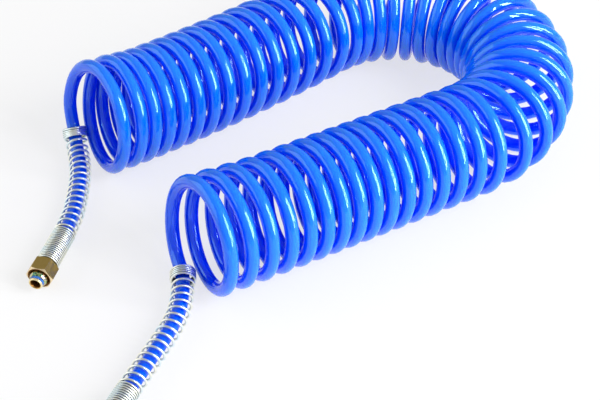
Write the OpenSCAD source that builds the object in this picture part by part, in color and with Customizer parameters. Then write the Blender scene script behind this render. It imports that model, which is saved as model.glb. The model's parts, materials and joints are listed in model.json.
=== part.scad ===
// Coiled air hose: one plastic tube wound as a helix, its coil bent into a U,
// with a straight tail, a wire anti-kink guard and a union nut at each end.
// It lies on the floor, z = 0, with its bounding box centred on the origin.

/* [Hose] */
// Outer diameter of the tube
hose_od = 8; // [7:0.5:8]
// Bore of the tube
hose_bore = 6; // [5.4:0.1:6.4]
// Height shaved off the underside of each curl that rests on the floor
floor_flat = 0.8; // [0.5:0.1:1]

/* [Coil] */
// Radius of the helix, to the middle of the tube
coil_radius = 30; // [26:1:30]
// Curls in the near leg
near_turns = 15.5; // [10.5:1:17.5]
// Mean pitch of the near leg
near_pitch = 11.5; // [11:0.1:14]
// Share by which the near leg's pitch opens at its ends and closes at its middle
near_gather = 0.12; // [0:0.01:0.13]
// Lean of the near leg's curl tops towards the bend
near_lean = 4; // [0:0.5:8]
// Distance by which the near leg's last curl is drawn away from the next one
near_open = -1; // [-1:0.5:4]
// Height that the near leg's last curl gains at its top
near_rise = 3.8; // [0:0.2:5]
// Curls in the bend
bend_turns = 17; // [10:1:17]
// Radius of the bend, to the axis of the coil
bend_radius = 73; // [73:1:90]
// Angle of the bend
bend_angle = 192; // [180:1:195]
// Curls in the far leg
far_turns = 15.125; // [10.125:1:17.125]
// Mean pitch of the far leg
far_pitch = 11.05; // [11:0.05:14]
// Share by which the far leg's pitch opens at the bend and closes at its free end
far_gather = 0.26; // [0:0.01:0.26]
// Angle by which the far leg curves back
far_turn_back = 9; // [0:1:12]
// Lean of the far leg's curl tops towards the bend
far_lean = 6; // [0:0.5:8]
// Distance by which the far leg's last curl is drawn away from the next one
far_open = 4.8; // [0:0.4:8]
// Height that the far leg's last curl gains at its top
far_rise = 4; // [0:0.2:5]

/* [Spring guard] */
// Diameter of the guard's wire
wire_d = 1.4; // [1:0.1:1.5]
// Outer diameter of the guard
guard_od = 13.4; // [12.2:0.1:13.6]
// Outer diameter of the flared collar at the coil's side
collar_od = 14.8; // [14:0.1:15.2]
// Length of the collar
collar_length = 6; // [5:0.1:8]
// Turns in the collar
collar_turns = 2; // [1.5:0.5:2]
// Turns in the open stretch
open_turns = 15; // [8:0.5:15]
// Length of the dense stretch against the nut
dense_length = 25.5; // [24:0.5:30]
// Turns in the dense stretch
dense_turns = 8; // [4:0.5:8]

/* [Nut] */
// Width across the nut's flats
nut_af = 14; // [13:0.5:16]
// Length of the nut
nut_length = 10; // [9.5:0.5:12]
// Diameter inside the nut's thread
thread_d = 10.9; // [10.6:0.1:11.4]
// Diameter of the chamfered mouth
mouth_d = 12.4; // [11.6:0.1:12.6]
// Length of the nut's closed back, where it rides on the tube
nut_back = 3; // [2.5:0.5:3.5]
// Angle that the near nut stands turned by about its own axis
near_nut_turn = 10; // [-30:1:30]
// Angle that the far nut stands turned by about its own axis
far_nut_turn = 30; // [0:1:60]

/* [Olive, tube end and insert] */
// Outer diameter of the olive
olive_od = 10.2; // [9.4:0.1:10.4]
// Length of the olive
olive_length = 6.5; // [5:0.5:7]
// Length of the olive that shows past the nut's mouth
olive_reach = 2; // [1:0.5:3]
// Length of tube that shows past the olive
tube_reach = 2; // [1:0.5:4]
// Bore of the support insert
insert_bore = 5; // [3.6:0.1:5]
// Diameter of the insert's rounded flange
flange_d = 8; // [6.8:0.1:8.4]
// Thickness of the insert's flange
flange_t = 1.3; // [1:0.1:2]
// Length of the insert's stem inside the tube
stem_length = 9; // [7:1:10]

/* [Hidden] */

blue = [0.10, 0.36, 0.95];
zinc = [0.78, 0.80, 0.79];
brass = [0.62, 0.50, 0.24];
olive_gold = [0.85, 0.84, 0.62];

// Facets: rings and sides of the hose's curls, of the tails and of the guard's wire
curl_rings = 8;
curl_sides = 6;
tail_sides = 8;
wire_rings = 7;
wire_sides = 6;
path_steps = 96;
bend_parts = 3;
$fn = 64;

// Fits: tube in the nut's back, thread past the olive and one moving piece to the next
running_gap = 0.1;
piece_gap = 0.3;

// Length that a cut runs past an edge, and room left in the tube past the insert's stem
cut_margin = 1;
stem_room = 2;

// The helix starts at this angle about its axis, which is 45 degrees short of the floor
start_phase = -45;

// Curls over which an end of the coil opens, and curls over which its tops rise
open_span = 1;
rise_span = 3;

// The near leg starts at [0, 0] and runs along +X, and the bend turns towards +Y.
// Each route is the middle of a guard and of the tail inside it. It starts at the guard's
// collar, and its last point is where the straight run to the nut starts.
fitting_height = 8.4;
near_route = [[-4.4, 6.2, 8.8], [-8, -1.2, 7.7], [-12.8, -10, 7.2], [-19, -19, 7], [-27.5, -27.5, 7],
              [-37, -35, 7], [-48, -43.5, 7.2], [-57, -50.6, 7.8], [-65.3, -57.1, fitting_height]];
far_route = [[-12, 144.4, 16.6], [-13.4, 139.7, 11.9], [-15.6, 132, 8.1], [-18.2, 123, 7.1], [-21.2, 114.5, 7],
             [-26.9, 102.4, 7], [-35.2, 87.6, 7.2], [-42, 77.2, 7.8], [-50.9, 66.3, fitting_height]];
near_heading = 218;
far_heading = 226;

hose_r = hose_od / 2;
axis_height = coil_radius + hose_r - floor_flat;
near_length = near_pitch * near_turns;
bend_length = bend_radius * bend_angle * PI / 180;
far_length = far_pitch * far_turns;
all_turns = near_turns + bend_turns + far_turns;
back_radius = far_length / max(far_turn_back * PI / 180, 0.001);

function unit(v) = v / norm(v);
function direction(angle) = [cos(angle), sin(angle), 0];
function left_of(angle) = [-sin(angle), cos(angle), 0];
function limit(value, low, high) = min(max(value, low), high);

// Distance along the coil's axis at a count of turns
function near_travel(t) = near_length * (t / near_turns + near_gather * sin(360 * t / near_turns) / (2 * PI));
function far_travel(v) = far_length * (v + far_gather * v * (1 - v));
function leg_travel(t) =
    t < near_turns ? near_travel(t)
    : t < near_turns + bend_turns ? near_length + bend_length * (t - near_turns) / bend_turns
    : near_length + bend_length + far_travel((t - near_turns - bend_turns) / far_turns);
function fade(turns, span) = max(1 - turns / span, 0);
function travel(t) = leg_travel(t) - near_open * fade(t, open_span) + far_open * fade(all_turns - t, open_span);
function rise(t) = near_rise * fade(t, rise_span) + far_rise * fade(all_turns - t, rise_span);

// Heading of the coil's axis, and its point, at a distance along it
function bent(s) = limit((s - near_length) / bend_length, 0, 1) * bend_angle;
function back(s) = max(s - near_length - bend_length, 0) / back_radius * 180 / PI;
function axis_heading(s) = bent(s) - back(s);
function axis_point(s) =
    [min(s, near_length), 0, axis_height]
    + bend_radius * ([0, 1, 0] - left_of(bent(s)))
    + (back(s) > 0 ? back_radius * (left_of(bend_angle - back(s)) - left_of(bend_angle)) : [0, 0, 0]);

// A curl's tube: its centre at a count of turns, its way outwards and its heading
function phase(t) = start_phase + 360 * t;
function lean(s) = near_lean - (near_lean + far_lean) * limit((s - near_length) / bend_length, 0, 1);
function leant(t) = travel(t) + lean(travel(t)) * sin(phase(t));
function outward(t) = cos(phase(t)) * left_of(axis_heading(leant(t))) + [0, 0, sin(phase(t))];
function curl_centre(t) =
    axis_point(leant(t)) + coil_radius * outward(t) + [0, 0, rise(t) * (1 + sin(phase(t))) / 2];
function curl_heading(t) = unit(curl_centre(t + 0.01) - curl_centre(t - 0.01));

// A station of a swept tube is [centre, heading, side], and ring() is its outline
function ring(station, radius, sides) =
    let (side = unit(station[2] - (station[2] * station[1]) * station[1]))
    let (across = cross(station[1], side))
    [for (i = [0:sides - 1])
        let (turn = 360 * (i + 0.5) / sides)
        let (p = station[0] + radius * (cos(turn) * side + sin(turn) * across))
        [p[0], p[1], max(p[2], 0)]];

function curl_stations(first, last) =
    [for (i = [first:last]) [curl_centre(i / curl_rings), curl_heading(i / curl_rings), outward(i / curl_rings)]];

module swept(stations, radius, sides) {
    points = [for (s = stations) each ring(s, radius, sides)];
    last = (len(stations) - 1) * sides;
    walls = [for (k = [0:len(stations) - 2]) for (i = [0:sides - 1])
        let (j = (i + 1) % sides)
        let (a = k * sides)
        each [[a + i, a + sides + i, a + sides + j], [a + i, a + sides + j, a + j]]];
    first_cap = [for (i = [1:sides - 2]) [0, i, i + 1]];
    last_cap = [for (i = [1:sides - 2]) [last, last + i + 1, last + i]];
    polyhedron(points = points, faces = concat(walls, first_cap, last_cap));
}

// The lead is the curve from the coil's last curl down into the guard, where the tail starts
lead_steps = 5;
lead_share = 0.35;
down = [0, 0, -1];
function bezier(a, b, c, d, u) =
    a * pow(1 - u, 3) + 3 * b * u * pow(1 - u, 2) + 3 * c * u * u * (1 - u) + d * pow(u, 3);
function tail_start(route) = unit(route[2] - route[0]);
function lead_point(from, leaving, route, u) =
    let (pull = lead_share * norm(route[1] - from))
    bezier(from, from + pull * leaving, route[1] - pull * tail_start(route), route[1], u);
function lead_stations(from, leaving, outer, route) =
    concat(
        [for (k = [1:lead_steps - 1])
            let (u = k / lead_steps)
            let (step = lead_point(from, leaving, route, u + 0.02) - lead_point(from, leaving, route, u - 0.02))
            [lead_point(from, leaving, route, u), unit(step), (1 - u) * outer + u * down]],
        [[route[1], tail_start(route), down]]);
function reversed(stations) = [for (i = [len(stations) - 1:-1:0]) [stations[i][0], -stations[i][1], stations[i][2]]];

near_lead = lead_stations(curl_centre(0), -curl_heading(0), outward(0), near_route);
far_lead = lead_stations(curl_centre(all_turns), curl_heading(all_turns), outward(all_turns), far_route);
near_last = round(near_turns * curl_rings);
bend_last = round((near_turns + bend_turns) * curl_rings);
far_last = round(all_turns * curl_rings);
function bend_mark(part) = round(near_last + (bend_last - near_last) * part / bend_parts);

near_stations = concat(reversed(near_lead), curl_stations(0, near_last));
far_stations = concat(curl_stations(bend_last, far_last), far_lead);

// Tails: a tube along the route, then straight to the nut's back
function nut_place(route, heading) = route[len(route) - 1] + (dense_length + piece_gap) * direction(heading);
near_nut_place = nut_place(near_route, near_heading);
far_nut_place = nut_place(far_route, far_heading);

function tail_stations(route, heading, place) =
    let (last = len(route) - 1)
    concat(
        [[route[1], tail_start(route), down]],
        [for (i = [2:last - 1]) [route[i], unit(route[i + 1] - route[i - 1]), down]],
        [[route[last], unit(direction(heading) + unit(route[last] - route[last - 1])), down],
         [place, direction(heading), down]]);

// The guard follows a smooth curve through the same points
function spline(p, u) =
    let (i = limit(floor(u), 0, len(p) - 2))
    let (v = u - i)
    let (a = p[max(i - 1, 0)], b = p[i], c = p[i + 1], d = p[min(i + 2, len(p) - 1)])
    b + 0.5 * v * ((c - a) + v * ((2 * a - 5 * b + 4 * c - d) + v * (3 * (b - c) + d - a)));
function guard_curve(route, place) =
    concat([for (k = [0:path_steps]) spline(route, k * (len(route) - 1) / path_steps)], [place]);
function lengths(p) = [for (i = 0, s = 0; i < len(p); i = i + 1, s = s + norm(p[min(i, len(p) - 1)] - p[i - 1])) s];
function column(s, p, axis) = [for (i = [0:len(p) - 1]) [s[i], p[i][axis]]];
function tables(route, place) =
    let (p = guard_curve(route, place))
    let (s = lengths(p))
    [column(s, p, 0), column(s, p, 1), column(s, p, 2), s[len(s) - 1]];
function curve_at(t, s) = [lookup(s, t[0]), lookup(s, t[1]), lookup(s, t[2])];

near_tables = tables(near_route, near_nut_place);
far_tables = tables(far_route, far_nut_place);

guard_turns = collar_turns + open_turns + dense_turns;
collar_mean = (collar_od - wire_d) / 2;
guard_mean = (guard_od - wire_d) / 2;
function guard_travel(t, turn) =
    let (end = t[3] - piece_gap - wire_d / 2)
    lookup(turn, [[0, 0], [collar_turns, collar_length],
                  [collar_turns + open_turns, end - dense_length + collar_length], [guard_turns, end]]);
function guard_radius(turn) = lookup(turn, [[collar_turns, collar_mean], [collar_turns + 1, guard_mean]]);
function guard_side(t, turn) =
    let (s = guard_travel(t, turn))
    let (heading = unit(curve_at(t, s + 1) - curve_at(t, s - 1)))
    let (left = unit(cross([0, 0, 1], heading)))
    cos(360 * turn) * left + sin(360 * turn) * cross(heading, left);
function guard_centre(t, turn) = curve_at(t, guard_travel(t, turn)) + guard_radius(turn) * guard_side(t, turn);
function guard_stations(t) =
    [for (i = [0:round(guard_turns * wire_rings)])
        let (turn = i / wire_rings)
        [guard_centre(t, turn), unit(guard_centre(t, turn + 0.02) - guard_centre(t, turn - 0.02)), guard_side(t, turn)]];

// The least gap between one curl and the next, measured between ring centres
function least_gap(stations, rings, diameter) =
    min([for (i = [0:len(stations) - 1 - rings]) norm(stations[i + rings][0] - stations[i][0])]) - diameter;
echo(hose_least_gap = least_gap(curl_stations(0, far_last), curl_rings, hose_od));
echo(near_guard_least_gap = least_gap(guard_stations(near_tables), wire_rings, wire_d));
echo(far_guard_least_gap = least_gap(guard_stations(far_tables), wire_rings, wire_d));

// Along a fitting's axis, from the nut's back: the olive, the tube's end and the insert
olive_end = nut_length + olive_reach;
tube_end = olive_end + tube_reach;
tip = tube_end + flange_t;
corner_r = nut_af / 2 / cos(30);

// The box that the whole object fits, from its rings and its fittings' corners
function nut_corners(place, heading, turn) =
    [for (k = [0:5]) for (z = [0, nut_length])
        place + z * direction(heading) + corner_r * sin(turn + 60 * k) * left_of(heading)];
function tip_rim(place, heading) =
    [for (side = [-1, 1]) place + tip * direction(heading) + side * flange_d / 2 * left_of(heading)];
outline = concat(
    [for (s = curl_stations(0, far_last)) each ring(s, hose_r, curl_sides)],
    nut_corners(near_nut_place, near_heading, near_nut_turn), tip_rim(near_nut_place, near_heading),
    nut_corners(far_nut_place, far_heading, far_nut_turn), tip_rim(far_nut_place, far_heading));
outline_x = [for (p = outline) p[0]];
outline_y = [for (p = outline) p[1]];
middle = [(min(outline_x) + max(outline_x)) / 2, (min(outline_y) + max(outline_y)) / 2, 0];
echo(middle = middle, near_nut_place = near_nut_place - middle, far_nut_place = far_nut_place - middle, tip = tip);

// Puts a piece that is drawn along +Z, from the nut's back, on its fitting's axis
module at_fitting(place, heading) {
    translate(place - middle) rotate([0, 0, heading]) rotate([0, 90, 0]) children();
}

module hose(stations, sides) {
    color(blue) translate(-middle) swept(stations, hose_r, sides);
}

module guard(t) {
    color(zinc) translate(-middle) swept(guard_stations(t), wire_d / 2, wire_sides);
}

module nut_piece(turn) {
    chamfer_r = nut_af / 2 - 0.3;
    clear_r = corner_r + cut_margin;
    chamfer_h = (clear_r - chamfer_r) * tan(30);
    envelope = [[0, 0], [chamfer_r, 0], [clear_r, chamfer_h], [clear_r, nut_length - chamfer_h],
                [chamfer_r, nut_length], [0, nut_length]];
    tube_hole = hose_r + running_gap;
    cone_end = nut_back + (thread_d / 2 - tube_hole);
    mouth_start = nut_length - (mouth_d - thread_d) / 2;
    bore = [[0, -cut_margin], [tube_hole, -cut_margin], [tube_hole, nut_back], [thread_d / 2, cone_end],
            [thread_d / 2, mouth_start], [mouth_d / 2, nut_length],
            [mouth_d / 2, nut_length + cut_margin], [0, nut_length + cut_margin]];
    color(brass) difference() {
        intersection() {
            rotate([0, 0, turn]) cylinder(r = corner_r, h = nut_length, $fn = 6);
            rotate_extrude() polygon(envelope);
        }
        rotate_extrude() polygon(bore);
    }
}

module olive_piece() {
    cone = (olive_od - hose_od) / 2;
    start = olive_end - olive_length;
    color(olive_gold) rotate_extrude() polygon([
        [hose_r, start], [hose_r + cone / 2, start], [olive_od / 2, start + cone / 2],
        [olive_od / 2, olive_end - cone], [hose_r + cone / 3, olive_end], [hose_r, olive_end]]);
}

module tube_end_piece() {
    plug = tube_end - stem_length - stem_room;
    color(blue) difference() {
        cylinder(r = hose_r, h = tube_end);
        translate([0, 0, plug]) cylinder(d = hose_bore, h = tube_end);
    }
}

module insert_piece() {
    edge = flange_t / 3;
    profile = [[insert_bore / 2, tube_end - stem_length], [hose_bore / 2, tube_end - stem_length],
               [hose_bore / 2, tube_end], [flange_d / 2 - edge, tube_end], [flange_d / 2, tube_end + edge],
               [flange_d / 2, tip - edge], [flange_d / 2 - edge, tip], [insert_bore / 2 + edge, tip],
               [insert_bore / 2, tip - edge]];
    color(brass) rotate_extrude() polygon(profile);
}

hose(near_stations, curl_sides);  // near_coil
hose(curl_stations(bend_mark(0), bend_mark(1)), curl_sides);  // bend_1
hose(curl_stations(bend_mark(1), bend_mark(2)), curl_sides);  // bend_2
hose(curl_stations(bend_mark(2), bend_mark(3)), curl_sides);  // bend_3
hose(far_stations, curl_sides);  // far_coil
hose(tail_stations(near_route, near_heading, near_nut_place), tail_sides);  // near_tail
hose(tail_stations(far_route, far_heading, far_nut_place), tail_sides);  // far_tail
guard(near_tables);  // near_guard
guard(far_tables);  // far_guard
at_fitting(near_nut_place, near_heading) tube_end_piece();  // near_tube_end
at_fitting(far_nut_place, far_heading) tube_end_piece();  // far_tube_end
at_fitting(near_nut_place, near_heading) olive_piece();  // near_olive
at_fitting(far_nut_place, far_heading) olive_piece();  // far_olive
at_fitting(near_nut_place, near_heading) insert_piece();  // near_insert
at_fitting(far_nut_place, far_heading) insert_piece();  // far_insert
at_fitting(near_nut_place, near_heading) nut_piece(near_nut_turn);  // near_nut
at_fitting(far_nut_place, far_heading) nut_piece(far_nut_turn);  // far_nut
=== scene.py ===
# %% [markdown]
# A coiled air hose
#
# A recoil hose is one long plastic tube that was wound on a bar and heated, so that
# it springs back into a coil. A short tail leaves each end of the coil, runs inside
# a wire guard that stops it from kinking, and ends in a brass nut. Here the coil is
# bent into a U and lies on a table.
#
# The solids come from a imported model, which is loaded first. Every piece that is
# made here goes where its solid is and stands for it, so nothing has to be fitted.

import json
import math

import bpy
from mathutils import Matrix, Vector
from mathutils.kdtree import KDTree


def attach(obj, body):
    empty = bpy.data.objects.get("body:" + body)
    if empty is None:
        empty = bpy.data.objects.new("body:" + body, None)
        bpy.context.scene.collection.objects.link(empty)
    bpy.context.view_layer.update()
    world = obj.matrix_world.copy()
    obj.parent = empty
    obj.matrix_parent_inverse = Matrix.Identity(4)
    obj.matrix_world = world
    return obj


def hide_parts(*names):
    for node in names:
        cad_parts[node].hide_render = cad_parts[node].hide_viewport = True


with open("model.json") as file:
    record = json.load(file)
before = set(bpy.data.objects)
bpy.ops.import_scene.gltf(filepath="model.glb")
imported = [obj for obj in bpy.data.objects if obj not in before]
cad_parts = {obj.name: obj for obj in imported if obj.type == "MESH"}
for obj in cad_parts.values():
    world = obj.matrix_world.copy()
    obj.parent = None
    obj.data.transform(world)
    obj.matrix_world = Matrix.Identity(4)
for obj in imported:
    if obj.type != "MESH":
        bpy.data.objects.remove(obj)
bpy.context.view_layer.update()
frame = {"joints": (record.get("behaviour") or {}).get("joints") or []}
MM = 0.001
Z = Vector((0, 0, 1))

# %% [markdown]
# The size of the coil
#
# The tube is 8 mm across, and its curls are 60 mm across at the middle of the tube.
# On the real hose the two legs of the U have open, uneven curls. In the bend they
# stand close together at the inside and fan out at the outside. Such a coil could
# be drawn by hand as a curve of two thousand points. A formula with a few named
# sizes is easier to read and to change, and it is the one that made the solids.

# %% The size of the coil
HOSE_R = 4 * MM
COIL_R = 30 * MM
# The first curl starts low, on the left of the coil's axis
START_PHASE = math.radians(-45)
POINTS_PER_TURN = 40

NEAR_TURNS, NEAR_PITCH = 15.5, 11.5 * MM
BEND_TURNS, BEND_R, BEND_ANGLE = 17, 73 * MM, math.radians(192)
FAR_TURNS, FAR_PITCH = 15.125, 11.05 * MM
# The far leg turns back by this angle, in an even curve
FAR_TURN_BACK = math.radians(9)
ALL_TURNS = NEAR_TURNS + BEND_TURNS + FAR_TURNS

NEAR_LENGTH = NEAR_PITCH * NEAR_TURNS
BEND_LENGTH = BEND_R * BEND_ANGLE
FAR_LENGTH = FAR_PITCH * FAR_TURNS
BACK_R = FAR_LENGTH / FAR_TURN_BACK
print("turns:", ALL_TURNS)
print("length along the coil, mm:", round((NEAR_LENGTH + BEND_LENGTH + FAR_LENGTH) / MM, 1))

# %% [markdown]
# Where the coil's corner is
#
# Each tail lies on the table and turns towards its nut. Its route is a short list of
# points, in millimetres from the coil's own corner, where the near leg's axis
# starts. The frame has another origin. The place of the near nut is known from both,
# because the nut turns on a hinge, so the difference of the two is the corner. The
# corner could also be typed in, but then it would be wrong once the model moved.

# %% The tails' routes and the coil's corner
# A route starts at the guard's collar and ends where the straight run to the nut starts
NEAR_ROUTE = [(-4.4, 6.2, 8.8), (-8, -1.2, 7.7), (-12.8, -10, 7.2), (-19, -19, 7),
              (-27.5, -27.5, 7), (-37, -35, 7), (-48, -43.5, 7.2), (-57, -50.6, 7.8),
              (-65.3, -57.1, 8.4)]
FAR_ROUTE = [(-12, 144.4, 16.6), (-13.4, 139.7, 11.9), (-15.6, 132, 8.1), (-18.2, 123, 7.1),
             (-21.2, 114.5, 7), (-26.9, 102.4, 7), (-35.2, 87.6, 7.2), (-42, 77.2, 7.8),
             (-50.9, 66.3, 8.4)]
NEAR_HEADING = math.radians(218)
FAR_HEADING = math.radians(226)
# The guard's close turns lie on the straight run, and a small gap parts guard and nut
DENSE_LENGTH = 25.5 * MM
PIECE_GAP = 0.3 * MM


def direction(angle):
    return Vector((math.cos(angle), math.sin(angle), 0))


def left_of(angle):
    return Vector((-math.sin(angle), math.cos(angle), 0))


def nut_in_coil(route, heading):
    """The back of a nut, counted from the coil's corner."""
    return Vector(route[-1]) * MM + (DENSE_LENGTH + PIECE_GAP) * direction(heading)


near_nut_in_coil = nut_in_coil(NEAR_ROUTE, NEAR_HEADING)
far_nut_in_coil = nut_in_coil(FAR_ROUTE, FAR_HEADING)
hinge = {j["name"]: Vector(j["pos_m"]) for j in frame["joints"]}
COIL_ORIGIN = hinge["near_nut_turn"] - near_nut_in_coil
print("coil's corner in the frame, mm:", [round(v / MM, 2) for v in COIL_ORIGIN])

# %% [markdown]
# The camera
#
# The camera looks down at the coil from the open side of the U, at 42 degrees. It
# stands well back with a long lens, so that near and far curls look almost the same
# size. A camera can be turned by hand until its view looks right. Here its place and
# two angles are given as numbers, so that the view is the same on every run.

# %% The camera
IMAGE_W = 600
FOCAL_PX = 1361
SENSOR_W = 36
CAMERA_IN_COIL = Vector((-207.4, -491.8, 542.6)) * MM
CAMERA_YAW = math.radians(60.89)
CAMERA_PITCH = math.radians(42)

camera_data = bpy.data.cameras.new("camera")
camera = bpy.data.objects.new("camera", camera_data)
bpy.context.collection.objects.link(camera)
camera_data.sensor_width = SENSOR_W
camera_data.lens = SENSOR_W * FOCAL_PX / IMAGE_W
camera_data.clip_start = 10 * MM
look = math.cos(CAMERA_PITCH) * direction(CAMERA_YAW) - math.sin(CAMERA_PITCH) * Z
camera.location = CAMERA_IN_COIL + COIL_ORIGIN
camera.rotation_euler = look.to_track_quat("-Z", "Y").to_euler()
bpy.context.scene.camera = camera
print("lens, mm:", round(camera_data.lens, 1))

# %% [markdown]
# How far along the coil each curl is
#
# A recoil hose that lies on a table never lies evenly. The near leg's curls gather
# in its middle, the far leg's gather towards its end, and the last curl at each end
# is pulled out of line by its tail. Each curl could be given its own place. Here the
# distance along the axis is an even one with a gentle wave or bow added, so that
# the spacing changes slowly, as a springy tube's does.

# %% Distance along the coil's axis
# How much closer than even the curls gather, as a share of their spacing
NEAR_GATHER, FAR_GATHER = 0.12, 0.26
# How much further out the last curl at each end stands, and over how many turns
NEAR_OPEN, FAR_OPEN, OPEN_SPAN = -1 * MM, 4.8 * MM, 1


def leg_travel(t):
    """Distance along the axis after t turns, before the end curls are moved."""
    if t < NEAR_TURNS:
        u = t / NEAR_TURNS
        return NEAR_LENGTH * (u + NEAR_GATHER * math.sin(2 * math.pi * u) / (2 * math.pi))
    if t < NEAR_TURNS + BEND_TURNS:
        return NEAR_LENGTH + BEND_LENGTH * (t - NEAR_TURNS) / BEND_TURNS
    v = (t - NEAR_TURNS - BEND_TURNS) / FAR_TURNS
    return NEAR_LENGTH + BEND_LENGTH + FAR_LENGTH * (v + FAR_GATHER * v * (1 - v))


def fade(turns, span):
    """1 at an end of the coil, and 0 from span turns on."""
    return max(1 - turns / span, 0)


def travel(t):
    """Distance along the coil's axis after t turns."""
    opened = FAR_OPEN * fade(ALL_TURNS - t, OPEN_SPAN)
    return leg_travel(t) - NEAR_OPEN * fade(t, OPEN_SPAN) + opened


print("first and last curl, mm:", round(travel(0) / MM, 1), round(travel(ALL_TURNS) / MM, 1))

# %% [markdown]
# The axis of the coil
#
# The axis is the line that the curls go round. It runs straight, bends through a
# little more than half a circle, and comes back in a slight curve the other way. It
# could be a Bezier curve. Three joined stretches of known radius are chosen, because
# the heading at any distance then follows from simple sums.


# %% The coil's axis
def limit(value, low, high):
    return min(max(value, low), high)


def axis(s):
    """Point and heading of the coil's axis at distance s."""
    bent = BEND_ANGLE * limit((s - NEAR_LENGTH) / BEND_LENGTH, 0, 1)
    back = max(s - NEAR_LENGTH - BEND_LENGTH, 0) / BACK_R
    point = Vector((min(s, NEAR_LENGTH), 0, COIL_R + HOSE_R))
    point += BEND_R * (left_of(0) - left_of(bent))
    point += BACK_R * (left_of(BEND_ANGLE - back) - left_of(BEND_ANGLE))
    return point, bent - back


end_point, end_heading = axis(travel(ALL_TURNS))
print("axis ends at, mm:", [round(v / MM, 1) for v in end_point],
      "heading, degrees:", round(math.degrees(end_heading), 1))

# %% [markdown]
# The curls
#
# A helix is a point that goes round while it moves along. On the real hose the curls
# also lean, because the tube slips sideways where it lies on the table, and the last
# ones stand higher where the tail pushes them up. Blender's Screw modifier makes an
# even helix only, so the points are worked out here, forty for each turn.

# %% The curls
# How far the top of a curl leans along the axis, and how far the end curls rise
NEAR_LEAN, FAR_LEAN = 4 * MM, 6 * MM
NEAR_RISE, FAR_RISE, RISE_SPAN = 3.8 * MM, 4 * MM, 3


def curl_centre(t):
    """The middle of the tube after t turns."""
    phase = START_PHASE + 2 * math.pi * t
    s = travel(t)
    lean = NEAR_LEAN - (NEAR_LEAN + FAR_LEAN) * limit((s - NEAR_LENGTH) / BEND_LENGTH, 0, 1)
    point, heading = axis(s + lean * math.sin(phase))
    rise = NEAR_RISE * fade(t, RISE_SPAN) + FAR_RISE * fade(ALL_TURNS - t, RISE_SPAN)
    point += rise * (1 + math.sin(phase)) / 2 * Z
    return point + COIL_R * (math.cos(phase) * left_of(heading) + math.sin(phase) * Z)


curls = [curl_centre(k / POINTS_PER_TURN) for k in range(round(ALL_TURNS * POINTS_PER_TURN) + 1)]
print("points in the curls:", len(curls))

# %% [markdown]
# The tails
#
# A tail leaves the last curl, drops to the table in a short curve, lies in its guard
# and ends in a straight run into the nut. A Bezier curve makes the drop, because it
# keeps the way in which the tube leaves the curl. A smooth spline through the route
# makes the rest. The guard's middle takes the same spline, so that guard and tube
# never part.

# %% Two kinds of smooth line
def bezier(a, b, c, d, u):
    return a * (1 - u) ** 3 + 3 * b * u * (1 - u) ** 2 + 3 * c * u * u * (1 - u) + d * u ** 3


def spline(points, u):
    """A curve through all the points, at u points from the first one."""
    i = min(int(u), len(points) - 2)
    v = u - i
    a, b, c = points[max(i - 1, 0)], points[i], points[i + 1]
    d = points[min(i + 2, len(points) - 1)]
    return b + 0.5 * v * ((c - a) + v * ((2 * a - 5 * b + 4 * c - d) + v * (3 * (b - c) + d - a)))


near_route = [Vector(p) * MM for p in NEAR_ROUTE]
far_route = [Vector(p) * MM for p in FAR_ROUTE]
print("middle of the far route, mm:",
      [round(v / MM, 1) for v in spline(far_route, (len(far_route) - 1) / 2)])

# %% The tails' lines
# How far the drop's handles reach, as a share of its length
LEAD_SHARE = 0.35
LEAD_POINTS = 12
STEP = 3 * MM


def path_length(points):
    return sum((b - a).length for a, b in zip(points, points[1:]))


def tail_line(last_curl, leaving, route, nut):
    """The tube's line from the last curl to the nut, and the guard's middle line."""
    pull = LEAD_SHARE * (route[1] - last_curl).length
    along = (route[2] - route[0]).normalized()
    lead = [bezier(last_curl, last_curl + pull * leaving, route[1] - pull * along, route[1],
                   k / LEAD_POINTS) for k in range(1, LEAD_POINTS)]
    count = round(path_length(route) / STEP)
    guard_run = [spline(route, k * (len(route) - 1) / count) for k in range(count + 1)]
    tube_run = [spline(route, 1 + k * (len(route) - 2) / count) for k in range(count + 1)]
    straight = round((nut - route[-1]).length / STEP)
    end = [route[-1].lerp(nut, k / straight) for k in range(1, straight + 1)]
    return lead + tube_run + end, guard_run + end


near_tube, near_tail = tail_line(curls[0], (curls[0] - curls[1]).normalized(),
                                 near_route, near_nut_in_coil)
far_tube, far_tail = tail_line(curls[-1], (curls[-1] - curls[-2]).normalized(),
                               far_route, far_nut_in_coil)
near_tail = [p + COIL_ORIGIN for p in near_tail]
far_tail = [p + COIL_ORIGIN for p in far_tail]
print("guards' middles, mm:", round(path_length(near_tail) / MM), round(path_length(far_tail) / MM))

# %% [markdown]
# One line for the whole hose
#
# The tube has no joint between its tails and its curls, so their points are strung
# together from the near nut to the far one. Three tubes that meet end to end would
# be simpler to make, but their caps would show as rings where they touch.

# %% The whole line of the hose
hose_line = list(reversed(near_tube)) + curls + far_tube
hose_line = [p + COIL_ORIGIN for p in hose_line]

# %% [markdown]
# The hose
#
# The real hose is one tube from fitting to fitting. It could be a circle swept along
# the line by hand, but a Blender curve with a bevel depth is a round tube already.
# The curve is then converted to a mesh, so that painted light and shade can be
# stored on its points.


# %% From a line to a tube
TUBE_RESOLUTION = 6


def deselect():
    if bpy.context.mode != "OBJECT":
        bpy.ops.object.mode_set(mode="OBJECT")
    bpy.ops.object.select_all(action="DESELECT")


def pick(piece):
    deselect()
    piece.select_set(True)
    bpy.context.view_layer.objects.active = piece


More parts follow.
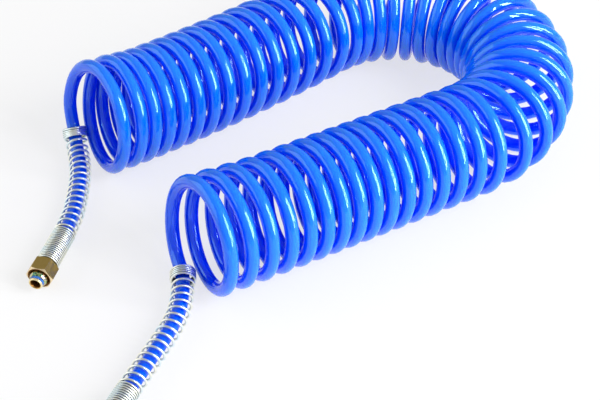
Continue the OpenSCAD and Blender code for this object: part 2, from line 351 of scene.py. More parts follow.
def tube(name, points, radius):
    """A closed tube round a line of points."""
    curve = bpy.data.curves.new(name, "CURVE")
    curve.dimensions = "3D"
    curve.bevel_depth = radius
    curve.bevel_resolution = TUBE_RESOLUTION
    curve.use_fill_caps = True
    line = curve.splines.new("POLY")
    line.points.add(len(points) - 1)
    for slot, p in zip(line.points, points):
        slot.co = (*p, 1)
    line.use_smooth = True
    piece = bpy.data.objects.new(name, curve)
    bpy.context.collection.objects.link(piece)
    pick(piece)
    bpy.ops.object.convert(target="MESH")
    bpy.ops.object.shade_smooth()
    piece.name = name
    print(name, "faces:", len(piece.data.polygons))
    return piece


hose = tube("hose", hose_line, HOSE_R)
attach(hose, "hose")
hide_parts("near_tail", "near_coil", "bend_1", "bend_2", "bend_3", "far_coil", "far_tail")

# %% [markdown]
# Which side of the hose faces out
#
# Light that enters a translucent coil comes out again mostly on the outside of the
# curls, so they look lighter there than at the inside of the coil. This light, and the
# shade at the inside, are painted into the hose's colour. A finish could only guess at
# this from the shape. It is simple to work out here, though: each point of the mesh
# stores how far it stands on the outer side, from -1 to 1, as an attribute for the
# painted light and shade. On the tails, which have no outer side, it fades to one
# middle value, a painted shade.


# %% Mark the outer side of the curls
# The painted shade that the tails have all round
LEAD_PAINTED_SHADE = 0.3


def mark_side(piece, name, middle, outward):
    """Stores what outward says of each point of a tube round the middle line."""
    nearest = KDTree(len(middle))
    for k, p in enumerate(middle):
        nearest.insert(p, k)
    nearest.balance()
    side = piece.data.attributes.new(name, "FLOAT", "POINT")
    for i, vertex in enumerate(piece.data.vertices):
        p, k, _ = nearest.find(vertex.co)
        side.data[i].value = outward(k, vertex.co - p)
    values = [v.value for v in side.data]
    print(piece.name, name, round(min(values), 2), "to", round(max(values), 2))


def curl_outward(t):
    """The way from the coil's axis to the tube after t turns."""
    phase = START_PHASE + 2 * math.pi * t
    return math.cos(phase) * left_of(axis(travel(t))[1]) + math.sin(phase) * Z


# Painted light on the outsides of the curls, painted shade on their insides and the tails
def hose_painted_light_side(k, offset):
    turn = (k - len(near_tube)) / POINTS_PER_TURN
    past = max(-turn, turn - ALL_TURNS, 0) * POINTS_PER_TURN / LEAD_POINTS
    side = (offset / HOSE_R).dot(curl_outward(limit(turn, 0, ALL_TURNS)))
    return side + (LEAD_PAINTED_SHADE - side) * min(past, 1)


mark_side(hose, "painted_light_side", hose_line, hose_painted_light_side)

# %% [markdown]
# The wire guards
#
# Each guard is one zinc-plated wire: a collar of four and a half close turns that is
# a little wider, then sixteen open turns that let the tail bend, then eighteen close
# turns that hold the guard to the nut. A helix along a curve could be made with a
# Screw and a Curve modifier, but its spacing and width change on the way. So two
# small tables say where each turn is and how wide it is, and the wire's points are
# read from them.

# %% Reading a line and a table
def line_table(points):
    """Distance along a line at each of its points."""
    lengths = [0]
    for a, b in zip(points, points[1:]):
        lengths.append(lengths[-1] + (b - a).length)
    return lengths


def point_at(points, lengths, s):
    i = 0
    while i < len(lengths) - 2 and lengths[i + 1] < s:
        i += 1
    u = (s - lengths[i]) / (lengths[i + 1] - lengths[i])
    return points[i].lerp(points[i + 1], u)


def blend_between(x, table):
    """The value at x, between the two (place, value) pairs round it."""
    for (a, fa), (b, fb) in zip(table, table[1:]):
        if x <= b:
            return fa + (fb - fa) * max(x - a, 0) / (b - a)
    return table[-1][1]


print("near tail, mm:", round(line_table(near_tail)[-1] / MM, 1))
print("far tail, mm:", round(line_table(far_tail)[-1] / MM, 1))

# %% The line of a guard's wire
WIRE_R = 0.7 * MM
GUARD_R = 6.0 * MM
COLLAR_R = 6.7 * MM
COLLAR_TURNS, OPEN_TURNS, DENSE_TURNS = 4.5, 16, 18
GUARD_TURNS = COLLAR_TURNS + OPEN_TURNS + DENSE_TURNS
WIRE_POINTS = 32
# The wire narrows from the collar to the guard between these two turns
NARROWS_FROM, NARROWS_TO = COLLAR_TURNS - 0.5, COLLAR_TURNS + 1
# Close turns stand a wire and a hair apart
COLLAR_SPACING = 2 * WIRE_R * 1.02
DENSE_SPACING = 2 * WIRE_R * 1.01


def guard_line(points):
    """The middle of the wire from the collar to the nut's back, and its outer side."""
    lengths = line_table(points)
    end = lengths[-1] - PIECE_GAP - WIRE_R
    open_end = COLLAR_TURNS + OPEN_TURNS
    places = [(0, WIRE_R), (COLLAR_TURNS, COLLAR_TURNS * COLLAR_SPACING),
              (open_end, end - DENSE_TURNS * DENSE_SPACING), (GUARD_TURNS, end)]
    radii = [(NARROWS_FROM, COLLAR_R), (NARROWS_TO, GUARD_R)]
    middle, outer = [], []
    for k in range(round(GUARD_TURNS * WIRE_POINTS) + 1):
        turn = k / WIRE_POINTS
        s = blend_between(turn, places)
        ahead, behind = point_at(points, lengths, s + MM), point_at(points, lengths, s - MM)
        heading = (ahead - behind).normalized()
        left = Z.cross(heading).normalized()
        angle = 2 * math.pi * turn
        side = math.cos(angle) * left + math.sin(angle) * heading.cross(left)
        middle.append(point_at(points, lengths, s) + blend_between(turn, radii) * side)
        outer.append(side)
    return middle, outer


print("turns in a guard:", GUARD_TURNS, "wire, mm:", 2 * WIRE_R / MM)

# %% [markdown]
# Make the guards and mark the wire's crest
#
# Seen from a step away, a close-wound spring is a row of bright lines with dark
# gaps, because each turn is lit on its crest and shaded by its neighbours below. An
# open turn is bright nearly all round. The wire stores the outer side of each turn as
# the attribute "crest", and the zinc finish reads it to paint this light and shade
# into its colour: a painted highlight on each crest, painted shade in the gaps.

# %% The guards
# An open turn's painted light at its sides, and how much brighter its painted highlight on the crest is
OPEN_PAINTED_LIGHT, OPEN_PAINTED_HIGHLIGHT = 0.82, 0.1


def make_guard(name, tail, node):
    middle, outer = guard_line(tail)
    piece = tube(name, middle, WIRE_R)

    # Each point's value paints a highlight on the crest and shade in the gaps
    def wire_painted_shade(k, offset):
        value = (offset / WIRE_R).dot(outer[k])
        is_open = COLLAR_TURNS - 1 < k / WIRE_POINTS < COLLAR_TURNS + OPEN_TURNS
        return OPEN_PAINTED_LIGHT + OPEN_PAINTED_HIGHLIGHT * value if is_open else value

    mark_side(piece, "crest", middle, wire_painted_shade)
    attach(piece, "hose")
    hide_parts(node)
    return piece


near_guard = make_guard("near_guard_wire", near_tail, "near_guard")
far_guard = make_guard("far_guard_wire", far_tail, "far_guard")

# %% [markdown]
# Turned pieces
#
# Nut, olive and insert are turned on a lathe, and Blender's Spin tool is a lathe: it
# turns a profile round an axis. Each piece is made standing on Z, where its profile
# is easy to write down, and is then put on its fitting. The profile could be a
# cylinder that is cut and extruded ring by ring, but a list of radii and heights
# shows at a glance what was turned.

# %% A lathe and a cutter
MERGE_DISTANCE = 0.000001


def turned(name, profile, steps):
    """A closed body of revolution about Z, from (radius, height) points in millimetres."""
    mesh = bpy.data.meshes.new(name)
    edges = [(i, i + 1) for i in range(len(profile) - 1)]
    if profile[0][0] > 0:
        edges.append((len(profile) - 1, 0))
    mesh.from_pydata([(r * MM, 0, z * MM) for r, z in profile], edges, [])
    piece = bpy.data.objects.new(name, mesh)
    bpy.context.collection.objects.link(piece)
    pick(piece)
    bpy.ops.object.mode_set(mode="EDIT")
    bpy.ops.mesh.select_all(action="SELECT")
    bpy.ops.mesh.spin(steps=steps, angle=2 * math.pi, center=(0, 0, 0), axis=(0, 0, 1))
    bpy.ops.mesh.select_all(action="SELECT")
    bpy.ops.mesh.remove_doubles(threshold=MERGE_DISTANCE)
    bpy.ops.mesh.normals_make_consistent(inside=False)
    bpy.ops.object.mode_set(mode="OBJECT")
    print("turned", name, "faces:", len(piece.data.polygons))
    return piece


def cut(piece, tool, operation):
    """Trims a piece with a tool and throws the tool away."""
    change = piece.modifiers.new("cut", "BOOLEAN")
    change.object = tool
    change.operation = operation
    change.solver = "EXACT"
    pick(piece)
    bpy.ops.object.modifier_apply(modifier=change.name)
    bpy.data.objects.remove(tool)


# %% [markdown]
# Where the fittings are
#
# Both ends of the hose have the same fitting, so its pieces are described once and
# put in two places. A fitting starts at the back of its nut, on the nut's hinge, and
# points along the tail. Its pieces could be children of an empty that is moved. They
# are moved themselves, and the move is applied, so that each finished piece has its
# place in its own mesh.

# %% Where the fittings are
FITTINGS = {"near": {"back": hinge["near_nut_turn"], "heading": NEAR_HEADING,
                     "nut_turn": math.radians(10)},
            "far": {"back": hinge["far_nut_turn"], "heading": FAR_HEADING,
                    "nut_turn": math.radians(30)}}


def put_on_fitting(piece, end):
    """Turns a piece that stands on Z, from the nut's back, onto its fitting's axis."""
    piece.rotation_euler = (0, math.pi / 2, FITTINGS[end]["heading"])
    piece.location = FITTINGS[end]["back"]
    pick(piece)
    bpy.ops.object.transform_apply(location=True, rotation=True, scale=True)


for end, fitting in FITTINGS.items():
    print(end, "fitting, mm:", [round(v / MM, 1) for v in fitting["back"]],
          "heading, degrees:", round(math.degrees(fitting["heading"])))

# %% [markdown]
# The nuts
#
# A union nut is cut from hexagonal brass bar: its ends are turned, which leaves a
# round face with a sloping edge on six corners, and its bore is drilled and threaded
# from the front. It is made here in the same order: a six-sided cylinder is trimmed
# by one turned body, and another is cut out of it. Moving the corners by hand would
# not give the curved lines where a slope meets a flat.

# %% The bar and its turned ends
# Width across the flats in metres, and what a profile uses in millimetres
NUT_AF = 14 * MM
NUT_LENGTH = 10
NUT_CORNER_R = NUT_AF / 2 / math.cos(math.pi / 6)
NUT_STEPS = 96
END_FACE_R = 6.7
CHAMFER = 0.8
# The trimming body is a hair longer at its middle, so that it closes in a point
TIP = 0.01


def hexagon_bar(end):
    turn = FITTINGS[end]["nut_turn"] + math.pi / 2
    deselect()
    bpy.ops.mesh.primitive_cylinder_add(vertices=6, radius=NUT_CORNER_R, depth=NUT_LENGTH * MM,
                                        location=(0, 0, NUT_LENGTH * MM / 2),
                                        rotation=(0, 0, turn))
    nut = bpy.context.active_object
    nut.name = end + "_nut_body"
    bpy.ops.object.transform_apply(location=True, rotation=True, scale=True)
    return nut


def turn_ends(nut):
    corner = NUT_CORNER_R / MM
    cut(nut, turned("envelope", [(0, -TIP), (END_FACE_R, 0), (corner, CHAMFER),
                                 (corner, NUT_LENGTH - CHAMFER), (END_FACE_R, NUT_LENGTH),
                                 (0, NUT_LENGTH + TIP)], NUT_STEPS), "INTERSECT")


print("nut across its corners, mm:", round(2 * NUT_CORNER_R / MM, 2))

# %% [markdown]
# The nut's bore
#
# From the back, the bore is a plain hole for the tube, then a cone that presses on
# the olive, then the thread, then a wide mouth. A real thread is one helix. At this
# size four turned rings look the same, and they are much simpler to cut cleanly.

# %% The bore and its thread
# Radii and heights from the nut's back, in millimetres
HOLE_R, HOLE_END = 4.15, 3
CONE_R, CONE_END = 5.3, 4.2
THREAD_MINOR_R, THREAD_MAJOR_R = 5.45, 5.85
THREAD_START, THREAD_END, THREAD_RINGS = 4.4, 8.4, 4
FLANK_START, GROOVE_START, GROOVE_END = 0.2, 0.5, 0.6
MOUTH_R = 6.2
# The cutter runs this far past the nut's ends
PAST_END = 1


def bore_out(nut):
    thread = []
    for k in range(THREAD_RINGS):
        z = THREAD_START + k
        thread += [(THREAD_MINOR_R, z), (THREAD_MINOR_R, z + FLANK_START),
                   (THREAD_MAJOR_R, z + GROOVE_START), (THREAD_MAJOR_R, z + GROOVE_END)]
    back = [(0, -PAST_END), (HOLE_R, -PAST_END), (HOLE_R, HOLE_END), (CONE_R, CONE_END)]
    front = [(THREAD_MINOR_R, THREAD_END), (THREAD_MINOR_R, NUT_LENGTH - CHAMFER),
             (MOUTH_R, NUT_LENGTH), (MOUTH_R, NUT_LENGTH + PAST_END), (0, NUT_LENGTH + PAST_END)]
    cut(nut, turned("bore", back + thread + front, NUT_STEPS), "DIFFERENCE")


print("thread, mm:", 2 * THREAD_MAJOR_R, "x", THREAD_END - THREAD_START)

# %% [markdown]
# Edges, and painted light and shade
#
# No real edge is perfectly sharp. A small bevel breaks each one, and that thin face
# is what catches the light. Light and shade are also painted into the brass: painted
# shade makes the bore dark brown, and painted highlights make the edges and end faces
# pale. Each face of the nut stores which of these it is as an attribute, which the
# brass finish reads. Painting it by hand would look softer, but a turned part has its
# light and shade along clean lines.

# %% Broken edges and the painted light and shade
EDGE_BEVEL = 0.25 * MM
EDGE_SEGMENTS = 2
EDGE_ANGLE = math.radians(28)
NUT_SMOOTH_ANGLE = math.radians(25)
# Painted shade in the bore, painted light on the end faces, painted highlight on the edges
BORE_PAINTED_SHADE, END_PAINTED_LIGHT, EDGE_PAINTED_HIGHLIGHT = -1, 0.6, 1
# What counts as the bore, as an edge and as a face to the front
BORE_FACES_R = 6.1 * MM
EDGE_FACE_AREA = 2 * MM * MM
FACES_FRONT = 0.5


def break_edges(nut):
    bevel = nut.modifiers.new("edges", "BEVEL")
    bevel.width = EDGE_BEVEL
    bevel.segments = EDGE_SEGMENTS
    bevel.limit_method = "ANGLE"
    bevel.angle_limit = EDGE_ANGLE
    pick(nut)
    bpy.ops.object.modifier_apply(modifier=bevel.name)
    bpy.ops.object.shade_smooth_by_angle(angle=NUT_SMOOTH_ANGLE)


def mark_painted_light_and_shade(nut):
    painted_light_and_shade = nut.data.attributes.new("painted_light_and_shade", "FLOAT", "FACE")
    for face in nut.data.polygons:
        if math.hypot(face.center.x, face.center.y) < BORE_FACES_R:
            painted_light_and_shade.data[face.index].value = BORE_PAINTED_SHADE
        elif face.area < EDGE_FACE_AREA:
            painted_light_and_shade.data[face.index].value = EDGE_PAINTED_HIGHLIGHT
        elif face.normal.z > FACES_FRONT:
            painted_light_and_shade.data[face.index].value = END_PAINTED_LIGHT
    values = [v.value for v in painted_light_and_shade.data]
    print(nut.name, "bore faces:", values.count(BORE_PAINTED_SHADE), "edge faces:", values.count(EDGE_PAINTED_HIGHLIGHT))


# %% [markdown]
# Both nuts
#
# The steps above are now done in a workshop's order: bar, ends, bore, edges. The nut
# is marked while it still stands on Z, where "inside" is a simple distance, and is
# put on its fitting last. The second nut could be a copy of the first, but each is
# turned differently on its tube, so each is made from its own bar.

# %% Make the nuts
def make_nut(end):
    nut = hexagon_bar(end)
    turn_ends(nut)
    bore_out(nut)
    break_edges(nut)
    mark_painted_light_and_shade(nut)
    put_on_fitting(nut, end)
    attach(nut, end + "_nut")
    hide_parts(end + "_nut")
    print(nut.name, "faces:", len(nut.data.polygons))
    return nut


nuts = [make_nut(end) for end in FITTINGS]

# %% [markdown]
# The olives
#
# An olive is a brass ring on the tube. The nut's cone squeezes it until it grips the
# tube and seals it. It is straight in the middle and slopes at both ends, more gently
# towards the fitting. A cylinder with bevelled ends would have the same slope twice,
# so the ring is turned from a profile of ten points.

# %% The olives
# Each profile is (radius, height) from the tube's end face, in millimetres
OLIVE_PROFILE = [(4.02, -8.5), (4.6, -8.5), (5.0, -7.8), (5.1, -7.4), (5.1, -3.2), (5.0, -2.7),
                 (4.75, -2.1), (4.5, -1.6), (4.3, -1.4), (4.02, -1.4)]
TUBE_END = 14
RING_STEPS = 72
RING_SMOOTH_ANGLE = math.radians(40)


def turned_on_tube(name, profile):
    """A ring on the tube's end, which is TUBE_END in front of the nut's back."""
    piece = turned(name, [(r, z + TUBE_END) for r, z in profile], RING_STEPS)
    bpy.ops.object.shade_smooth_by_angle(angle=RING_SMOOTH_ANGLE)
    return piece


def fix_on_tube(piece, end, node):
    put_on_fitting(piece, end)
    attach(piece, "hose")
    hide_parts(end + "_" + node)
    return piece


olives = [fix_on_tube(turned_on_tube(end + "_olive_ring", OLIVE_PROFILE), end, "olive")
          for end in FITTINGS]

# %% [markdown]
# The inserts
#
# A support insert is a thin brass sleeve in the tube's end. It stops the nut from
# crushing the soft plastic, and its rounded flange lies on the tube's end face. Its
# bore is dark because little light gets in, and this shade is painted into its
# colour: each point stores how near it is to the bore, as the attribute "bore", from
# -1 in the bore to 1 on the flange. The flange could be a torus joined to a pipe, but
# one closed profile leaves no seam.

# %% The inserts
INSERT_PROFILE = [(2.5, -9), (2.98, -9), (2.98, 0.02), (3.5, 0.02), (3.8, 0.12), (3.97, 0.35),
                  (4.0, 0.65), (3.92, 0.95), (3.7, 1.2), (3.45, 1.3), (3.2, 1.26), (3.0, 1.08),
                  (2.85, 0.8), (2.72, 0.4), (2.6, -0.2), (2.5, -1)]
# Radius where the bore's painted shade turns into the flange, and how fast, in millimetres
BORE_EDGE_R, BORE_SHADE_FADE = 3.05, 0.6


def make_insert(end):
    piece = turned_on_tube(end + "_insert_sleeve", INSERT_PROFILE)
    bore = piece.data.attributes.new("bore", "FLOAT", "POINT")
    for i, vertex in enumerate(piece.data.vertices):
        radius = math.hypot(vertex.co.x, vertex.co.y) / MM
        bore.data[i].value = limit((radius - BORE_EDGE_R) / BORE_SHADE_FADE, -1, 1)
    return fix_on_tube(piece, end, "insert")


inserts = [make_insert(end) for end in FITTINGS]

# %% [markdown]
# The tube's ends
#
# The last 14 mm of the tube run from the nut's back, through the olive, and stand
# out of the nut's mouth. The coil's tube could simply go on to there, but the cut
# end has a small rounded edge, its own finish, and a bore for the insert. A profile
# on the lathe gives all of these, so the end is a piece of its own.

# %% The tube's ends
# It starts just in front of the nut's back, and its floor closes in a tiny ring
END_BACK, END_FLOOR, CLOSED_R = -13.9, -11, 0.001
TUBE_END_PROFILE = [(3, END_FLOOR), (3, 0), (3.8, 0), (3.95, -0.15), (4, -0.3), (4, END_BACK),
                    (CLOSED_R, END_BACK), (CLOSED_R, END_FLOOR)]

tube_ends = [fix_on_tube(turned_on_tube(end + "_hose_end", TUBE_END_PROFILE), end, "tube_end") for end in FITTINGS]

# %% [markdown]

# %% [markdown]
# How the finishes are made
#
# Each finish is a Principled shader, whose colour comes from a ramp: a strip of
# colour stops. Two things can say which stop a place gets: a noise in the object's
# own space, for changes that follow nothing, and one of the attributes stored above,
# for painted light and shade that follow the shape. Numbers that are the same
# everywhere are typed on the shader itself.


# %% A finish and its colour ramp
def material(name, base, metallic, roughness):
    made = bpy.data.materials.new(name)
    made.use_nodes = True
    shader = made.node_tree.nodes["Principled BSDF"]
    shader.inputs["Base Color"].default_value = (*base, 1)
    shader.inputs["Metallic"].default_value = metallic
    shader.inputs["Roughness"].default_value = roughness
    print("finish:", name)
    return made, shader


def give(pieces, made):
    for piece in pieces:
        piece.data.materials.clear()
        piece.data.materials.append(made)
    print(made.name, "on", [piece.name for piece in pieces])


def colour_ramp(made, shader, stops):
    """A ramp of colour stops that sets the base colour."""
    ramp = made.node_tree.nodes.new("ShaderNodeValToRGB")
    ramp.color_ramp.elements.remove(ramp.color_ramp.elements[1])
    for k, (place, colour) in enumerate(stops):
        stop = ramp.color_ramp.elements[0] if k == 0 else ramp.color_ramp.elements.new(place)
        stop.position = place
        stop.color = (*colour, 1)
    made.node_tree.links.new(ramp.outputs["Color"], shader.inputs["Base Color"])
    return ramp


# %% [markdown]
# A ramp that follows an attribute
#
# A ramp along an attribute alone would end each shade on a clean line, which looks
# printed. A little noise is added to the attribute first, so the line wanders. The
# attribute goes from -1 to 1 and a ramp from 0 to 1, so a Map Range node stands
# between them.

# %% A noise, and a ramp along an attribute
# How many finer and finer layers a noise has
FINE, COARSE, SMOOTH = 4.0, 2.0, 1.0


def object_noise(made, scale, detail):
    """Noise in the object's own space, so it stays where it is on the piece."""
    nodes = made.node_tree.nodes
    where = nodes.new("ShaderNodeTexCoord")
    noise = nodes.new("ShaderNodeTexNoise")
    noise.inputs["Scale"].default_value = scale
    noise.inputs["Detail"].default_value = detail
    made.node_tree.links.new(where.outputs["Object"], noise.inputs["Vector"])
    return noise


def shade_by(made, shader, attribute, stops, spread, scale):
    """Colour stops along a piece's own attribute, with noise that moves the stops."""
    nodes, links = made.node_tree.nodes, made.node_tree.links
    noise = object_noise(made, scale, FINE)
    along = nodes.new("ShaderNodeAttribute")
    along.attribute_name = attribute
    level = nodes.new("ShaderNodeMapRange")
    level.inputs["From Min"].default_value = -1
    level.inputs["From Max"].default_value = 1
    links.new(along.outputs["Fac"], level.inputs["Value"])
    shift = nodes.new("ShaderNodeMath")
    shift.operation = "MULTIPLY_ADD"
    shift.inputs[1].default_value = spread
    links.new(noise.outputs["Fac"], shift.inputs[0])
    links.new(level.outputs["Result"], shift.inputs[2])
    ramp = colour_ramp(made, shader, stops)
    links.new(shift.outputs["Value"], ramp.inputs["Fac"])
    print(made.name, "reads", attribute, "in", len(stops), "stops")
    return ramp


# %% [markdown]
# The hose's blue plastic
#
# The plastic is dyed through, glossy and slightly translucent: deep blue where the
# curls shade each other, brighter at their outsides, with thin pale streaks where a
# lamp is reflected. Plain blue paint would look flat. Subsurface scattering lets
# blue light travel furthest in the plastic and red light hardly at all, and the ramp
# along the outer side paints light into the outsides and shade into the insides and
# the tails. The low roughness keeps the streaks thin, and the high index of
# refraction makes them strong under gentle lamps.

# %% Blue plastic
hose_blue, blue_shader = material("hose_blue", (0.002, 0.16, 0.97), metallic=0.0, roughness=0.07)
blue_shader.inputs["Subsurface Weight"].default_value = 0.7
blue_shader.inputs["Subsurface Radius"].default_value = (0.05, 0.25, 1.0)
blue_shader.inputs["Subsurface Scale"].default_value = 0.006
blue_shader.inputs["IOR"].default_value = 2.0
blue_shader.inputs["Specular Tint"].default_value = (0.4, 0.82, 1, 1)
# Painted shade at the insides of the curls, painted light at their outsides
BLUE_PAINTED_LIGHT_STOPS = [(0.0, (0.0004, 0.04, 1.0)), (0.5, (0.0006, 0.078, 1.0)),
              (0.8, (0.0012, 0.118, 1.0)), (1.0, (0.0018, 0.185, 1.0))]
shade_by(hose_blue, blue_shader, "painted_light_side", BLUE_PAINTED_LIGHT_STOPS, spread=0.08, scale=60)
give([hose], hose_blue)

# %% [markdown]
# The guards' zinc plating
#
# Bright zinc plating is a thin silver layer with a faint yellow and blue cast. A
# plain metal shader would turn close turns of thin wire into an even grey. So shade
# and light are painted into the colour: the ramp along "crest" is nearly black, a
# painted shade, low between the turns and nearly white, a painted highlight, on
# their crests, and a second, slower noise multiplies it by a warm or a cool tint.


# %% Zinc wire
# Where along the noise the tint is all warm, and where it is all cool
ALL_WARM, ALL_COOL = 0.42, 0.58


def tint(made, shader, ramp, warm, cool, scale):
    """Multiplies a ramp by a slow noise between a warm and a cool tint."""
    nodes, links = made.node_tree.nodes, made.node_tree.links
    noise = object_noise(made, scale, COARSE)
    hue = nodes.new("ShaderNodeValToRGB")
    hue.color_ramp.elements[0].position = ALL_WARM
    hue.color_ramp.elements[0].color = (*warm, 1)
    hue.color_ramp.elements[1].position = ALL_COOL
    hue.color_ramp.elements[1].color = (*cool, 1)
    links.new(noise.outputs["Fac"], hue.inputs["Fac"])
    mix = nodes.new("ShaderNodeMix")
    mix.data_type = "RGBA"
    mix.blend_type = "MULTIPLY"
    mix.inputs["Factor"].default_value = 1.0
    links.new(ramp.outputs["Color"], mix.inputs["A"])
    links.new(hue.outputs["Color"], mix.inputs["B"])
    links.new(mix.outputs["Result"], shader.inputs["Base Color"])


zinc_wire, zinc_shader = material("zinc_wire", (0.80, 0.81, 0.78), metallic=1.0, roughness=0.36)
# Painted shade low between the turns, painted highlight on the crests
ZINC_PAINTED_SHADE_STOPS = [(0.55, (0.03, 0.04, 0.04)), (0.84, (0.20, 0.23, 0.21)),
              (0.90, (0.66, 0.70, 0.66)), (0.95, (0.94, 0.96, 0.94))]
zinc_painted_shade_ramp = shade_by(zinc_wire, zinc_shader, "crest", ZINC_PAINTED_SHADE_STOPS, spread=0.04, scale=400)
tint(zinc_wire, zinc_shader, zinc_painted_shade_ramp, warm=(1.0, 0.98, 0.88), cool=(0.86, 0.96, 1.0), scale=130)
give([near_guard, far_guard], zinc_wire)

# %% [markdown]
# The nuts' brass
#
# Machined brass is golden on its flats. Painted shade makes it brown inside the bore,
# and painted highlights make it pale on edges and end faces. One gold colour would
# look like plastic. The ramp along the painted light and shade goes from brown to
# pale, and noise moves its stops, so that no two flats have quite the same shade.

# %% Nut brass
nut_brass, nut_shader = material("nut_brass", (0.40, 0.27, 0.08), metallic=1.0, roughness=0.36)
# Painted shade for the bore, the brass's own gold for the flats, painted highlights for edges and ends
NUT_STOPS_WITH_PAINTED_LIGHT = [(0.0, (0.30, 0.13, 0.035)), (0.3, (0.32, 0.16, 0.04)), (0.45, (0.40, 0.27, 0.06)),
             (0.6, (0.51, 0.36, 0.11)), (0.8, (0.78, 0.59, 0.33)), (1.0, (0.92, 0.75, 0.48))]
shade_by(nut_brass, nut_shader, "painted_light_and_shade", NUT_STOPS_WITH_PAINTED_LIGHT, spread=0.1, scale=500)
give(nuts, nut_brass)

# %% [markdown]
# The olives' iridescent metal
#
# The olives have a very thin clear layer that splits the light, so patches of green,
# gold and pink lie side by side on them. A thin-film shader is one way to make
# this, but it shows only where a lamp is reflected. Five stops along a noise keep
# the patches in place from every side.


# %% Olive metal
def vary(made, shader, stops, scale, detail):
    """Colour stops along a noise."""
    noise = object_noise(made, scale, detail)
    ramp = colour_ramp(made, shader, stops)
    made.node_tree.links.new(noise.outputs["Fac"], ramp.inputs["Fac"])


olive_metal, olive_shader = material("olive_metal", (0.6, 0.6, 0.35), metallic=1.0, roughness=0.2)
OLIVE_STOPS = [(0.38, (0.08, 0.18, 0.12)), (0.44, (0.38, 0.60, 0.18)), (0.50, (0.62, 0.60, 0.34)),
               (0.56, (0.75, 0.52, 0.40)), (0.62, (0.20, 0.30, 0.24))]
vary(olive_metal, olive_shader, OLIVE_STOPS, scale=520, detail=SMOOTH)
give(olives, olive_metal)

# %% [markdown]
# The inserts' brass
#
# The flange is the brightest brass on the hose, and the bore behind it falls off
# quickly to a dark brown, a painted shade. The ramp along "bore" makes this step. The
# metal is a little less than full, which keeps the flange warm where it reflects the
# white table.

# %% Insert brass
insert_brass, insert_shader = material("insert_brass", (0.72, 0.50, 0.18), metallic=0.75,
                                       roughness=0.3)
# Painted shade in the bore, bright brass on the flange
INSERT_STOPS_WITH_PAINTED_SHADE = [(0.0, (0.20, 0.08, 0.012)), (0.45, (0.30, 0.13, 0.025)),
                (0.6, (0.70, 0.50, 0.17)), (1.0, (0.92, 0.78, 0.45))]
shade_by(insert_brass, insert_shader, "bore", INSERT_STOPS_WITH_PAINTED_SHADE, spread=0.05, scale=500)
give(inserts, insert_brass)

# %% [markdown]
# The cut end of the hose
#
# The short stretch between olive and flange has been squeezed and handled. It is
# darker and duller than the coil, and light doesn't glow in it, so it has no
# subsurface scattering. Two close blues along a noise keep it from looking flat.

# %% Cut end
end_blue, end_shader = material("hose_end_blue", (0.05, 0.25, 0.78), metallic=0.0,
                                roughness=0.25)
END_STOPS = [(0.35, (0.02, 0.10, 0.42)), (0.65, (0.05, 0.20, 0.58))]
vary(end_blue, end_shader, END_STOPS, scale=500, detail=FINE)
give(tube_ends, end_blue)

# %% [markdown]
# The floor
#
# The hose lies on a plain, pale floor, much larger than itself, so that no edge of
# it shows from any side. A curved backdrop is what a studio would use. A flat floor
# is enough here, because the sky behind it is as pale.

# %% The floor
FLOOR_SIZE = 6
GLOW_SHARE = 0.7

deselect()
bpy.ops.mesh.primitive_plane_add(size=FLOOR_SIZE, location=(0, 0, 0))
floor = bpy.context.active_object
floor.name = "floor"
floor_white, floor_shader = material("floor_white", (0.92, 0.92, 0.93), metallic=0.0,
                                     roughness=0.9)
give([floor], floor_white)

# %% [markdown]
# The floor's glow
#
# Brighter lamps would turn the floor white, but they would wash out the hose as
# well. So what the camera, a reflection or a clear material sees of the floor is
# mixed with a plain white glow, while the light that the floor throws on the hose
# stays as it is. Enough of the plain floor is left in the mix to keep the soft
# shadow under the coil.

# %% The floor's glow
nodes, links = floor_white.node_tree.nodes, floor_white.node_tree.links
rays = nodes.new("ShaderNodeLightPath")
seen = rays.outputs["Is Camera Ray"]
for ray in ("Is Glossy Ray", "Is Transmission Ray"):
    either = nodes.new("ShaderNodeMath")
    either.operation = "MAXIMUM"
    links.new(seen, either.inputs[0])
    links.new(rays.outputs[ray], either.inputs[1])
    seen = either.outputs["Value"]
share = nodes.new("ShaderNodeMath")
share.operation = "MULTIPLY"
share.inputs[1].default_value = GLOW_SHARE
links.new(seen, share.inputs[0])
white = nodes.new("ShaderNodeEmission")
white.inputs["Color"].default_value = (1, 1, 1, 1)
white.inputs["Strength"].default_value = 1.0
mix = nodes.new("ShaderNodeMixShader")
links.new(share.outputs["Value"], mix.inputs["Fac"])
links.new(floor_shader.outputs["BSDF"], mix.inputs[1])
links.new(white.outputs["Emission"], mix.inputs[2])
links.new(mix.outputs["Shader"], nodes["Material Output"].inputs["Surface"])
print("floor glow:", GLOW_SHARE)

# %% [markdown]
# The lamps
#
# Gloss shows the shape of the lamps, so lamps are chosen for their reflections. Two
# tall, narrow softboxes on the right draw the thin bright streaks along the curls.
# One big, dim panel on the left fills the shadows without a streak of its own. A
# single sun would light the hose too, but its streaks would be hard dots.


# %% The lamps
def softbox(name, place, aim, width, height, power):
    """A rectangular lamp at a place in metres that looks at its aim."""
    data = bpy.data.lights.new(name, "AREA")
    data.shape = "RECTANGLE"
    data.size = width
    data.size_y = height
    data.energy = power
    lamp = bpy.data.objects.new(name, data)
    bpy.context.collection.objects.link(lamp)
    lamp.location = place
    lamp.rotation_euler = (Vector(aim) - Vector(place)).to_track_quat("-Z", "Y").to_euler()
    print(name, width, "x", height, "m,", power, "W")


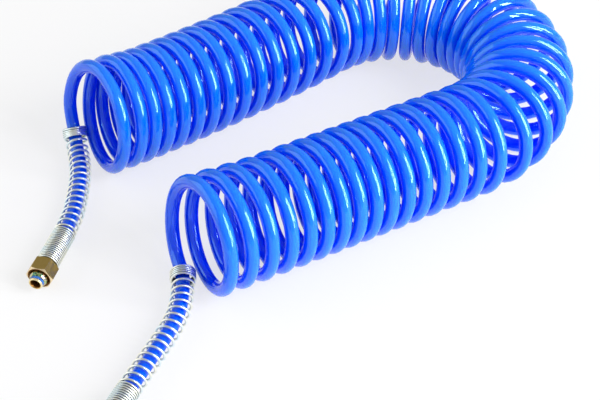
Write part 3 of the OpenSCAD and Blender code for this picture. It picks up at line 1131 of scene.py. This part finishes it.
# The strips stand upright, and the panel looks down at the coil
STRIP_AIM = (0, 0, 0.85)
FILL_AIM = (0, 0, 0.03)
softbox("right_strip", (0.51, -1.09, 0.85), STRIP_AIM, width=0.14, height=1.5, power=16)
softbox("far_right_strip", (0.85, -0.85, 0.85), STRIP_AIM, width=0.18, height=1.5, power=17)
softbox("left_fill", (-1.3, 0.7, 0.75), FILL_AIM, width=2.0, height=1.4, power=10)

# %% [markdown]
# The room
#
# The world stands for the rest of the studio. It is nearly even and nearly white, so
# that shadows stay soft, and one side of it is a little darker, which gives the
# round wires and curls a shaded side. An image of a real room would show up as
# shapes in the gloss, so a ramp across the sky is used.

# %% The room
SKY_TURN = math.radians(30)
SKY_DARK, DARK_UP_TO = 0.8, 0.3
SKY_LIGHT, LIGHT_FROM = 1, 0.65
SKY_STRENGTH = 0.5

world = bpy.data.worlds.new("studio")
bpy.context.scene.world = world
world.use_nodes = True
sky, links = world.node_tree.nodes, world.node_tree.links
where = sky.new("ShaderNodeTexCoord")
split = sky.new("ShaderNodeSeparateXYZ")
ramp = sky.new("ShaderNodeValToRGB")
span = sky.new("ShaderNodeMapRange")
span.inputs["From Min"].default_value = -1
span.inputs["From Max"].default_value = 1
turn = sky.new("ShaderNodeMapping")
turn.inputs["Rotation"].default_value = (0, 0, SKY_TURN)
links.new(where.outputs["Generated"], turn.inputs["Vector"])
links.new(turn.outputs["Vector"], split.inputs["Vector"])
links.new(split.outputs["X"], span.inputs["Value"])
links.new(span.outputs["Result"], ramp.inputs["Fac"])
ramp.color_ramp.elements[0].position = DARK_UP_TO
ramp.color_ramp.elements[0].color = (SKY_DARK, SKY_DARK, SKY_DARK, 1)
ramp.color_ramp.elements[1].position = LIGHT_FROM
ramp.color_ramp.elements[1].color = (SKY_LIGHT, SKY_LIGHT, SKY_LIGHT, 1)
background = sky["Background"]
links.new(ramp.outputs["Color"], background.inputs["Color"])
background.inputs["Strength"].default_value = SKY_STRENGTH
print("sky strength:", SKY_STRENGTH)

# %% [markdown]
# Finish
#
# The Standard view shows colours as they were written, where other views would mute
# the blue.

# %% Finish
bpy.context.scene.view_settings.view_transform = "Standard"
